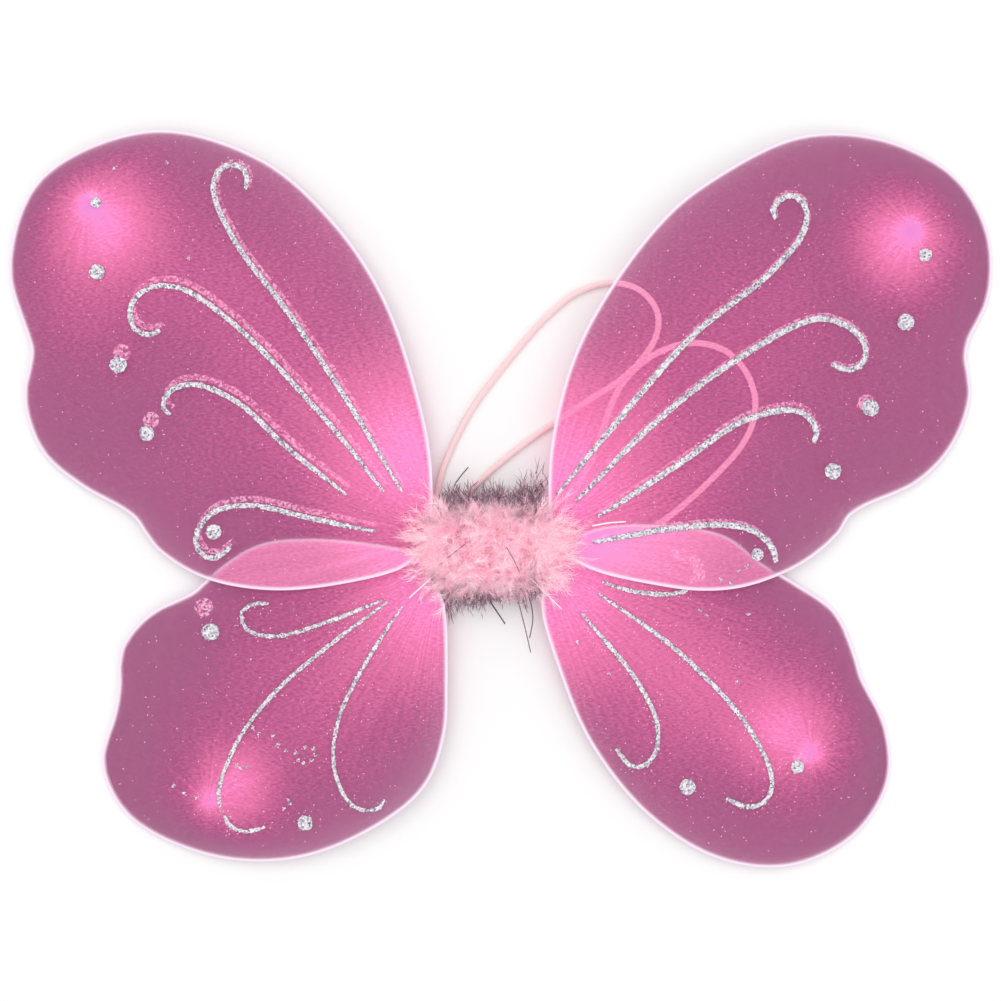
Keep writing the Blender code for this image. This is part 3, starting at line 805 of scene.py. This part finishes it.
def flake_mesh(name, places, size, tilt, seed):
    """Loose flakes: little hexagons at these places, each tilted its own way."""
    pick = np.random.default_rng(seed)
    count = len(places)
    normals = unit(pick.normal(0, tilt, (count, 3)) + (0, 0, 1))
    side = unit(np.cross(normals, pick.normal(0, 1, (count, 3))))
    other = np.cross(normals, side)
    radii = size * pick.uniform(0.6, 1.25, count)
    turns = np.arange(6) * math.pi / 3
    corners = places[:, None] + radii[:, None, None] * (np.cos(turns)[:, None] * side[:, None]
                                                        + np.sin(turns)[:, None] * other[:, None])
    mesh = bpy.data.meshes.new(name)
    mesh.from_pydata(corners.reshape(-1, 3).tolist(), [], np.arange(count * 6).reshape(-1, 6).tolist())
    return mesh


def seen_through(node, wing):
    """The part of a lower wing's bead that lies behind the upper wing, as the pale print it makes on it."""
    shape = welded(node)
    bmesh.ops.subdivide_edges(shape, edges=shape.edges, cuts=2)
    places = np.array([v.co for v in shape.verts])
    outside = wing.rim_distance(places[:, :2]) < 1.2 * MM
    for vertex in shape.verts:
        vertex.co += Vector((vertex.normal.x, vertex.normal.y, 0)) * PRESSED_SPREAD
    bmesh.ops.delete(shape, geom=[v for v, out in zip(shape.verts, outside) if out], context="VERTS")
    bmesh.ops.delete(shape, geom=[f for f in shape.faces if f.normal.z < 0.7], context="FACES")
    for vertex in shape.verts:
        vertex.co.z = wing.height(np.array([vertex.co[:2]]))[0] + PRESSED_LIFT
    return as_mesh(shape, f"seen_through_{node}")


for number, (name, wing) in enumerate(wings.items()):
    glitter_nodes = sorted(node for node in frame["nodes"] if node.startswith("glitter_") and name in node)
    scattered = []
    for node in glitter_nodes:
        bead = lumpy_bead(node, wing)
        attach(bead, wing_body(name))
        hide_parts(node)
        scattered.append(points_of(bead.data)[::9, :2])
        if node in SOAKED:
            under = put(node.replace("glitter_", "soaked_"), soaked_print(node, wing), ghost, wing_body(name))
    if name == "upper_right":
        pressed = put("pressed_print", seen_through("glitter_line_lower_right_1", wing), ghost, wing_body(name))
    pick = np.random.default_rng(40 + number)
    low, high = wing.outline.min(axis=0), wing.outline.max(axis=0)
    loose = pick.uniform(low, high, (1100, 2))
    beside = np.concatenate(scattered)
    beside = beside[pick.choice(len(beside), 260)] + pick.normal(0, 3.0 * MM, (260, 2))
    loose = loose[wing.rim_distance(loose) > 4 * MM][:230]
    spots = np.concatenate([loose, beside[wing.rim_distance(beside) > 4 * MM]])
    places = np.column_stack([spots, wing.front(spots) + 0.12 * MM])
    flakes = flake_mesh(f"loose_flakes_{name}", places, 0.29 * MM, 0.2, number)
    put(flakes.name, flakes, loose_shine, wing_body(name))
    spilt = np.repeat(np.array(STRAYS[name]), 12, axis=0) * MM
    spilt = spilt + pick.normal(0, 0.5 * MM, spilt.shape)
    places = np.column_stack([spilt, wing.front(spilt) + 0.15 * MM])
    specks = flake_mesh(f"spilt_specks_{name}", places, 0.33 * MM, 0.25, 50 + number)
    put(specks.name, specks, silver, wing_body(name))

# ----------------------------------------------------------------------------------------------------------
# Bindings. White thread lashes the gathered nylon to each wing's root, and each tip is tied off in a knot of
# its own nylon. Pink tape holds the four stems together, under the cord that the marabou is spun round.
def wound_thread():
    """White sewing thread wound close: a fine ridge for each turn."""
    made, tree, shader = new_material("wound_thread")
    inputs = {"Vector": object_place(tree), "Scale": 500.0, "Distortion": 2.5, "Detail": 2.0}
    turns = add_node(tree, "ShaderNodeTexWave", inputs, bands_direction="X").outputs["Fac"]
    shade = ramp(tree, turns, [(0.0, colour(226, 176, 202)), (0.6, colour(250, 226, 238))])
    feed(tree, shader, {"Base Color": shade, "Normal": relief(tree, turns, 0.8, 0.2 * MM), "Roughness": 0.7})
    return made


thread = wound_thread()
knotted = plain("knotted_nylon", colour(240, 140, 210), 0.6)
for wing in WINGS:
    dress(frame["nodes"][f"root_lashing_{wing}"].data, thread)
    dress(frame["nodes"][f"tip_knot_{wing}"].data, knotted)
for node, shade in (("binding_tape", colour(236, 150, 182)), ("boa_core_cord", colour(244, 176, 196))):
    dress(frame["nodes"][node].data, plain(node, shade, 0.6))

# ----------------------------------------------------------------------------------------------------------
# Marabou trim. A short length of dyed marabou boa wound round the binding: many small plumes whose downy
# barbs lie every way, pale peach pink, with ends painted a dark mauve shade on the flanks and in the fringe
# that stands out above and below. Wisps spread over the roots of the wings, and a few bare quills and long
# whiskers stick out.
CORE_Z = MIDDLE[2]
TRIM_X = (-31.5 * MM, 22.5 * MM)
FRINGE_X = (-28.5 * MM, 17.2 * MM)
TUFTS = 24
OVER_WINGS = 22 * MM           # further out than this from the middle, the down lies over or under the wings
WING_FALL = 0.058              # how far the wings' plane falls for each unit outwards
WING_CLEARANCE = 3.4 * MM
DOWN_HEIGHTS = (0.3 * MM, 36 * MM)
BARB_POINTS = 5
UNDERDOWN_SIZE = (22.5 * MM, 14 * MM, 8 * MM)


def ribbon_mesh(name, parts, seed):
    """Tapering ribbons, one for each barb, that leave along their headings and curl towards their bends. Out
    over the wings each stays on its own side of them."""
    starts, headings, bends, lengths, widths, painted_end_shade = (np.concatenate(column) for column in zip(*parts))
    pick = np.random.default_rng(seed)
    count = len(starts)
    s = np.linspace(0, 1, BARB_POINTS)
    headings = unit(headings)
    wander = pick.normal(0, 0.07, (count, 3))[:, None] * np.sin(s * math.pi * 1.7)[None, :, None]
    line = starts[:, None] + lengths[:, None, None] * (headings[:, None] * s[None, :, None]
                                                       + bends[:, None] * (s ** 2)[None, :, None] + wander)
    across = unit(np.cross(headings, pick.normal(0, 0.5, (count, 3)) + (0, 0, 1)))
    half = widths[:, None] * (1 - 0.8 * s ** 1.5)[None, :] / 2
    sideways = across[:, None] * half[..., None]
    edges = np.stack([line - sideways, line + sideways], axis=2)
    out = np.abs(edges[..., 0] - MIDDLE[0]) - OVER_WINGS
    height = np.clip(edges[..., 2], *DOWN_HEIGHTS)
    wing = CORE_Z - WING_FALL * out
    over, under = np.maximum(height, wing + WING_CLEARANCE), np.minimum(height, wing - WING_CLEARANCE)
    clear = np.where((starts[:, 2] >= CORE_Z)[:, None, None], over, under)
    edges[..., 2] = np.where(out > 0, clear, height)
    row = np.arange(count * BARB_POINTS).reshape(count, BARB_POINTS) * 2
    faces = np.stack([row[:, :-1], row[:, :-1] + 1, row[:, 1:] + 1, row[:, 1:]], axis=2).reshape(-1, 4)
    mesh = bpy.data.meshes.new(name)
    mesh.from_pydata(edges.reshape(-1, 3).tolist(), [], faces.tolist())
    each = 2 * BARB_POINTS
    values = {"along": np.repeat(np.tile(s, count), 2), "painted_end_shade": np.repeat(painted_end_shade, each),
              "shade": np.repeat(pick.uniform(0, 1, count), each)}
    for key, value in values.items():
        mark(mesh, key, value)
    mesh.shade_smooth()
    return mesh


def marabou():
    """Downy pink barbs, paler and peachier in patches. Where they are marked so, their ends take a painted dark
    mauve shade, and all of them glow faintly in their own colour, painted light for what shines through the
    down.
    """
    made, tree, shader = new_material("marabou")
    patches = mottle(tree, object_place(tree), 110.0)
    level = calc(tree, "MULTIPLY", calc(tree, "ADD", attribute(tree, "shade"), patches), 0.5)
    pink = ramp(tree, level, [(0.2, colour(245, 174, 200)), (0.42, colour(251, 203, 219)),
                              (0.6, colour(255, 219, 229)), (0.76, colour(255, 244, 248))])
    reach = add_node(tree, "ShaderNodeMapRange",
                     {0: attribute(tree, "along"), 1: 0.0, 2: 0.45, 3: 0.35, 4: 1.0}).outputs[0]
    amount = calc(tree, "MULTIPLY", reach, attribute(tree, "painted_end_shade"))
    # Painted shade: the marked barbs darken to mauve towards their ends.
    blended = blend_colours(tree, amount, pink, colour(98, 76, 92))
    # A faint glow in the barbs' own colour: painted light for what shines through the down.
    feed(tree, shader, {"Base Color": blended, "Emission Color": blended, "Emission Strength": 0.12,
                        "Roughness": 0.9})
    return made


def plume(pick, root, heading, length, barbs, width, painted_end_shade):
    """One plume: its barbs leave a curved quill on both sides and sweep towards its tip."""
    heading = heading / np.linalg.norm(heading)
    side = np.cross(heading, pick.normal(0, 1, 3))
    side /= np.linalg.norm(side)
    other = np.cross(side, heading)
    curl = pick.normal(0, 0.2, 3) + (0, 0, -0.1)
    u = pick.uniform(0, 1, barbs)
    starts = root + length * (heading * u[:, None] + curl * (u ** 2)[:, None])
    out = np.sign(pick.uniform(-1, 1, (barbs, 1))) * side + other * pick.normal(0, 0.6, (barbs, 1))
    headings = heading * (0.6 + 0.8 * u[:, None]) + out * pick.uniform(0.4, 1.0, (barbs, 1))
    bends = heading * 0.3 + pick.normal(0, 0.25, (barbs, 3)) + (0, 0, -0.08)
    lengths = length * pick.uniform(0.35, 0.62, barbs) * (1.1 - 0.4 * u)
    widths = width * pick.uniform(0.6, 1.4, barbs)
    return starts, headings, bends, lengths, widths, np.full(barbs, painted_end_shade)


def body_of_fluff(seed, count):
    """Plumes that shingle the round trim, all over and lying every way."""
    pick = np.random.default_rng(seed)
    parts = []
    for _ in range(count):
        turn = pick.uniform(0, math.pi) if pick.uniform() < 0.8 else pick.uniform(math.pi, 2 * math.pi)
        x = pick.uniform(*TRIM_X)
        away = abs(x - MIDDLE[0]) / (27 * MM)
        width = (17 - 6.5 * away ** 3) * MM
        rise = (10 - 3 * away ** 2) * MM
        root = np.array([x, MIDDLE[1] + width * math.cos(turn), CORE_Z + rise * math.sin(turn)])
        lie = pick.uniform(0, 2 * math.pi)
        flat = np.array([math.cos(lie), -math.sin(turn) * math.sin(lie), math.cos(turn) * math.sin(lie)])
        heading = np.array([0, math.cos(turn), 0.6 * math.sin(turn)]) * 0.5 + flat
        # Painted shade: plumes on the trim's flanks get dark mauve ends.
        painted_end_shade = 0.75 * pick.uniform() * np.clip((abs(math.cos(turn)) - 0.72) / 0.28, 0, 1)
        parts.append((x, plume(pick, root, heading, pick.uniform(7, 11) * MM, 56, 0.19 * MM, painted_end_shade)))
    return parts


def fringe(seed, way, count):
    """Spikes that stand out past the fluff, above or below, in ragged tufts, their ends dark with painted
    shade.
    The lower ones are longer at the left end, and the upper ones at the right."""
    pick = np.random.default_rng(seed)
    parts = []
    tufts = pick.uniform(*FRINGE_X, TUFTS)
    for i in range(count):
        tuft = tufts[i % TUFTS]
        x = tuft + pick.normal(0, 0.8) * MM
        share = (x - FRINGE_X[0]) / (FRINGE_X[1] - FRINGE_X[0])
        if way < 0:
            longer = 6.5 * max(0.0, 1 - 4 * share) - 2.2 * share
        else:
            longer = 1.2 + 5.0 * max(0.0, 12 * share - 11)
        reach = 3.6 + 4.4 * abs(math.sin(2.9 * tuft / MM)) + longer + pick.normal(0, 1.0)
        root = np.array([x, MIDDLE[1] + way * pick.uniform(15, 20) * MM, CORE_Z - pick.uniform(0, 7) * MM])
        heading = np.array([pick.normal(0, 0.3), way, pick.normal(0, 0.12)])
        parts.append(plume(pick, root, heading, reach * MM, 7, 0.55 * MM, pick.uniform(0.7, 1.0)))
    return parts


def wisps(seed, way, count):
    """Thin down over the wings' roots, longer and sparser outwards."""
    pick = np.random.default_rng(seed)
    parts = []
    edge = TRIM_X[0] if way < 0 else TRIM_X[1]
    for _ in range(count):
        share = pick.uniform() ** 1.6
        x = edge + way * (share * 15 - 6) * MM
        y = MIDDLE[1] + pick.normal(1, 9.5 * (1 - 0.3 * share)) * MM
        root = np.array([x, y, CORE_Z + pick.uniform(3.5, 9.5 - 5 * share) * MM])
        heading = np.array([way * (1 + share), pick.normal(0, 0.75) + (y - MIDDLE[1]) / (18 * MM), -0.05])
        barbs = int(44 - 22 * share)
        parts.append(plume(pick, root, heading, pick.uniform(6, 11) * MM, barbs, 0.14 * MM, 0.0))
    return parts


def strand(name, points, diameter, shade, body):
    """A single quill or whisker: a thin round tube through the points."""
    line = smooth_line(points, 0.8) * MM
    piece = put(name, tube_mesh(name, line, diameter / 2 * MM, 6), plain(name, shade, 0.4), body)
    return piece


down = marabou()
bpy.ops.object.select_all(action="DESELECT")
bpy.ops.mesh.primitive_uv_sphere_add(segments=48, ring_count=24, radius=1)
underdown = bpy.context.object
underdown.name = underdown.data.name = "marabou_underdown"
places = points_of(underdown.data)
places[:, 0] = np.sign(places[:, 0]) * np.abs(places[:, 0]) ** 0.7
places = places * np.array(UNDERDOWN_SIZE) + (MIDDLE[0], MIDDLE[1], CORE_Z)
lumps = [[noise.noise(Vector(p) * 330 + Vector((k, 0, 0))) for k in (0, 9, 18)] for p in places]
places += 1.2 * MM * np.array(lumps)
set_points(underdown.data, places)
underdown.data.shade_smooth()
soft_pink, tree, shader = new_material("marabou_underdown")
tufted = mottle(tree, object_place(tree), 900.0, 4.0)
shade = ramp(tree, tufted, [(0.35, colour(238, 158, 184)), (0.65, colour(255, 206, 220))])
feed(tree, shader, {"Base Color": shade, "Roughness": 0.95})
dress(underdown.data, soft_pink)
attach(underdown, "middle")
plumes = body_of_fluff(11, 460)
between = [part for x, part in plumes if HINGE_X["left"] + 5 * MM < x < HINGE_X["right"] - 5 * MM]
fluff = put("marabou_trim", ribbon_mesh("marabou_trim", between, 12), down, "middle")
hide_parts("feather_boa")
spikes = fringe(13, 1, 330) + fringe(14, -1, 330)
edges = put("marabou_fringe", ribbon_mesh("marabou_fringe", spikes, 15), down, "middle")
for side, way in (("left", -1), ("right", 1)):
    hinge = HINGE_X[side]
    outer = [part for x, part in plumes if (x - hinge) * way > -5 * MM] + wisps(20 + way, way, 125)
    spread = put(f"marabou_wisps_{side}", ribbon_mesh(f"marabou_wisps_{side}", outer, 30 + way), down, None)
    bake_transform(spread)

QUILL = colour(250, 240, 246)
WHISKER = colour(88, 66, 78)
FAINT = colour(150, 104, 112)
strand("quill_right", [(44, -13, 20), (52, -11.6, 19), (60.5, -11, 16)], 0.8, QUILL, "right_lower_wing")
strand("quill_low_right", [(14, -38, 20), (21, -45, 18), (29.5, -53.5, 14.6)], 0.7, QUILL, "middle")
strand("quill_low_left", [(-33, -37.5, 19), (-38, -42, 17.5), (-44.5, -48, 14.5)], 0.8, QUILL,
       "left_lower_wing")
strand("whisker_low", [(-8, -46, 9), (-4, -52, 8), (2, -61, 6)], 0.7, WHISKER, "middle")
strand("whisker_long", [(6, -40, 12), (9, -52, 10), (12, -64, 8), (14.5, -75, 5)], 0.45, WHISKER, "middle")
strand("whisker_curved", [(10, -40, 12), (14, -49, 11), (15.5, -58, 9), (14, -68, 7)], 0.5, WHISKER, "middle")
strand("whisker_top", [(-22, 8, 8), (-19, 12, 7.5), (-16, 15.5, 7)], 0.6, WHISKER, "middle")
strand("whisker_over", [(-30, -32, 22), (-24, -27, 25), (-17, -21.5, 27)], 0.45, FAINT, "middle")
strand("whisker_right", [(2.5, -23, 27), (6, -29, 26), (9, -35.5, 23)], 0.4, FAINT, "middle")

# ----------------------------------------------------------------------------------------------------------
# Surface and light. A plain white table under soft, even daylight.
bpy.ops.object.select_all(action="DESELECT")
bpy.ops.mesh.primitive_plane_add(size=6, location=(0, 0, -0.0002))
table = bpy.context.object
table.name = "table"
dress(table.data, plain("white_table", (0.93, 0.93, 0.93, 1), 0.9))

world = bpy.data.worlds.new("daylight")
world.use_nodes = True
feed(world.node_tree, world.node_tree.nodes["Background"], {"Color": (1, 1, 1, 1), "Strength": 0.8})
bpy.context.scene.world = world
LAMPS = (("overhead", (-0.3, 0.5, 1.6), 1.4, 9.0), ("fill", (0.9, -0.7, 1.1), 1.0, 3.0))
for name, place, size, power in LAMPS:
    lamp = bpy.data.lights.new(name, "AREA")
    lamp.size = size
    lamp.energy = power
    held = bpy.data.objects.new(name, lamp)
    held.location = place
    held.rotation_euler = (-Vector(place)).to_track_quat("-Z", "Y").to_euler()
    bpy.context.scene.collection.objects.link(held)
